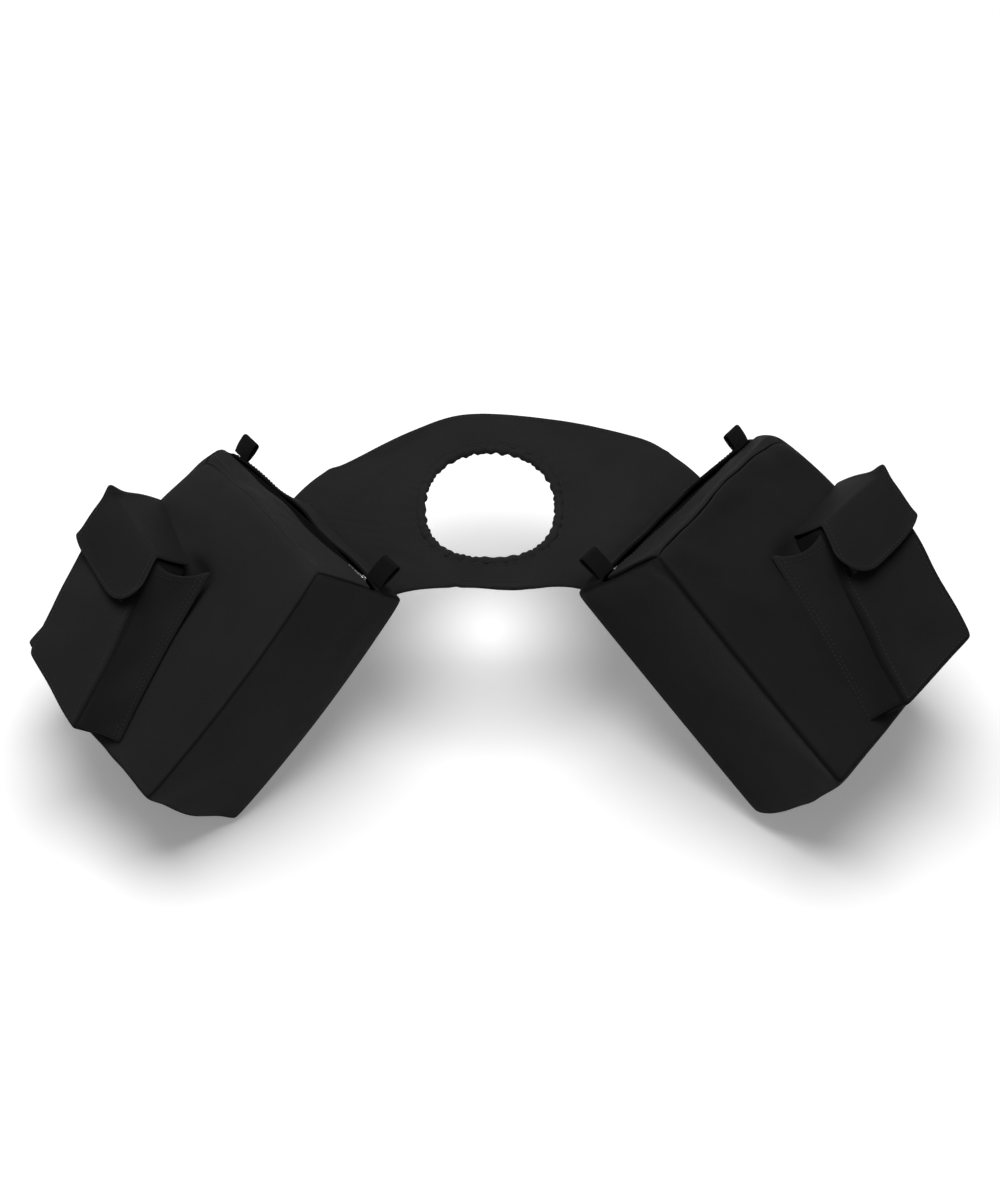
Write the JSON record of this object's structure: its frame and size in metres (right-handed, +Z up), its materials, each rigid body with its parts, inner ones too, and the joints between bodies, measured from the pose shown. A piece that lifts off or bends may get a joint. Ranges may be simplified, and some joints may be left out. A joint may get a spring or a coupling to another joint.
{
  "type": "saddle horn bag",
  "caption": "Black canvas saddle horn bag: a padded yoke with an elasticated horn hole, and zipped box pouches with flap pockets and open sleeves on its splayed sides.",
  "frame": {"origin": "middle of the horn hole, on the yoke's top face", "axes": "+Z up, +X to the bag's right across both pouches, -Y to the yoke's straight near edge"},
  "size_m": [0.8158, 0.388, 0.2592],
  "materials": {
    "canvas": "matte woven canvas",
    "lining": "smooth coated cloth",
    "foam": "closed-cell foam",
    "webbing": "ribbed webbing",
    "elastic": "braided elastic",
    "zip_tape": "knitted tape",
    "zip_teeth": "satin",
    "zip_metal": "bright",
    "hook_and_loop": "napped"
  },
  "bodies": {
    "yoke": {"yoke_top_panel": "canvas", "yoke_foam": "foam", "yoke_lining": "lining", "horn_hole_hem": "canvas", "horn_hole_elastic": "elastic"},
    "left_pouch": {"left_wing_panel": "canvas", "left_wing_lining": "lining", "left_back_panel": "canvas", "left_front_panel": "canvas", "left_bottom_panel": "canvas", "left_near_gusset": "canvas", "left_far_gusset": "canvas", "left_top_band": "canvas", "left_lining": "lining", "left_zip_tape_band": "zip_tape", "left_zip_teeth_band": "zip_teeth", "left_near_tab": "webbing", "left_far_tab": "webbing", "left_pocket_front": "canvas", "left_pocket_near_gusset": "canvas", "left_pocket_far_gusset": "canvas", "left_pocket_bottom": "canvas", "left_loop_strip": "hook_and_loop", "left_sleeve_face": "canvas", "left_sleeve_bottom": "canvas"},
    "left_lid_body": {"left_lid": "canvas", "left_zip_tape_lid": "zip_tape", "left_zip_teeth_lid": "zip_teeth"},
    "left_slider_body": {"left_zip_slider": "zip_metal"},
    "left_pull_body": {"left_zip_pull": "zip_metal"},
    "left_flap_body": {"left_pocket_flap": "canvas", "left_hook_strip": "hook_and_loop"},
    "right_pouch": {"right_wing_panel": "canvas", "right_wing_lining": "lining", "right_back_panel": "canvas", "right_front_panel": "canvas", "right_bottom_panel": "canvas", "right_near_gusset": "canvas", "right_far_gusset": "canvas", "right_top_band": "canvas", "right_lining": "lining", "right_zip_tape_band": "zip_tape", "right_zip_teeth_band": "zip_teeth", "right_near_tab": "webbing", "right_far_tab": "webbing", "right_pocket_front": "canvas", "right_pocket_near_gusset": "canvas", "right_pocket_far_gusset": "canvas", "right_pocket_bottom": "canvas", "right_loop_strip": "hook_and_loop", "right_sleeve_face": "canvas", "right_sleeve_bottom": "canvas"},
    "right_lid_body": {"right_lid": "canvas", "right_zip_tape_lid": "zip_tape", "right_zip_teeth_lid": "zip_teeth"},
    "right_slider_body": {"right_zip_slider": "zip_metal"},
    "right_pull_body": {"right_zip_pull": "zip_metal"},
    "right_flap_body": {"right_pocket_flap": "canvas", "right_hook_strip": "hook_and_loop"}
  },
  "joints": [
    {"name": "left_pouch_swing", "type": "hinge", "parent": "yoke", "child": "left_pouch", "pos_m": [-0.09456, -0.01445, 0], "axis": [-0.6455, 0.7638, 0], "range_deg": [0, 60]},
    {"name": "left_lid_open", "type": "hinge", "parent": "left_pouch", "child": "left_lid_body", "pos_m": [-0.1994, -0.05735, 0.05527], "axis": [0.4754, -0.8271, 0.2998], "range_deg": [0, 95]},
    {"name": "left_zip_slide", "type": "slide", "parent": "left_lid_body", "child": "left_slider_body", "axis": [-0.6042, 0.7915, -0.0919], "range_m": [0, 0.176]},
    {"name": "left_pull_turn", "type": "hinge", "parent": "left_slider_body", "child": "left_pull_body", "pos_m": [-0.10621, -0.1076, 0.02396], "axis": [0.534, 0.3169, -0.7839], "range_deg": [0, 100]},
    {"name": "left_flap_open", "type": "hinge", "parent": "left_pouch", "child": "left_flap_body", "pos_m": [-0.27206, -0.04165, 0.01024], "axis": [-0.3317, 0.9201, -0.2082], "range_deg": [0, 85]},
    {"name": "right_pouch_swing", "type": "hinge", "parent": "yoke", "child": "right_pouch", "pos_m": [0.09571, -0.01542, 0], "axis": [-0.6455, -0.7638, 0], "range_deg": [0, 60]},
    {"name": "right_lid_open", "type": "hinge", "parent": "right_pouch", "child": "right_lid_body", "pos_m": [0.19919, -0.04905, 0.06837], "axis": [0.5061, 0.8243, -0.2537], "range_deg": [0, 95]},
    {"name": "right_zip_slide", "type": "slide", "parent": "right_lid_body", "child": "right_slider_body", "axis": [0.6108, 0.7882, -0.0758], "range_m": [0, 0.176]},
    {"name": "right_pull_turn", "type": "hinge", "parent": "right_slider_body", "child": "right_pull_body", "pos_m": [0.10714, -0.10027, 0.02728], "axis": [0.4812, -0.2937, 0.8259], "range_deg": [0, 100]},
    {"name": "right_flap_open", "type": "hinge", "parent": "right_pouch", "child": "right_flap_body", "pos_m": [0.2817, -0.02657, 0.02362], "axis": [-0.4794, -0.8408, 0.2514], "range_deg": [0, 85]}
  ]
}
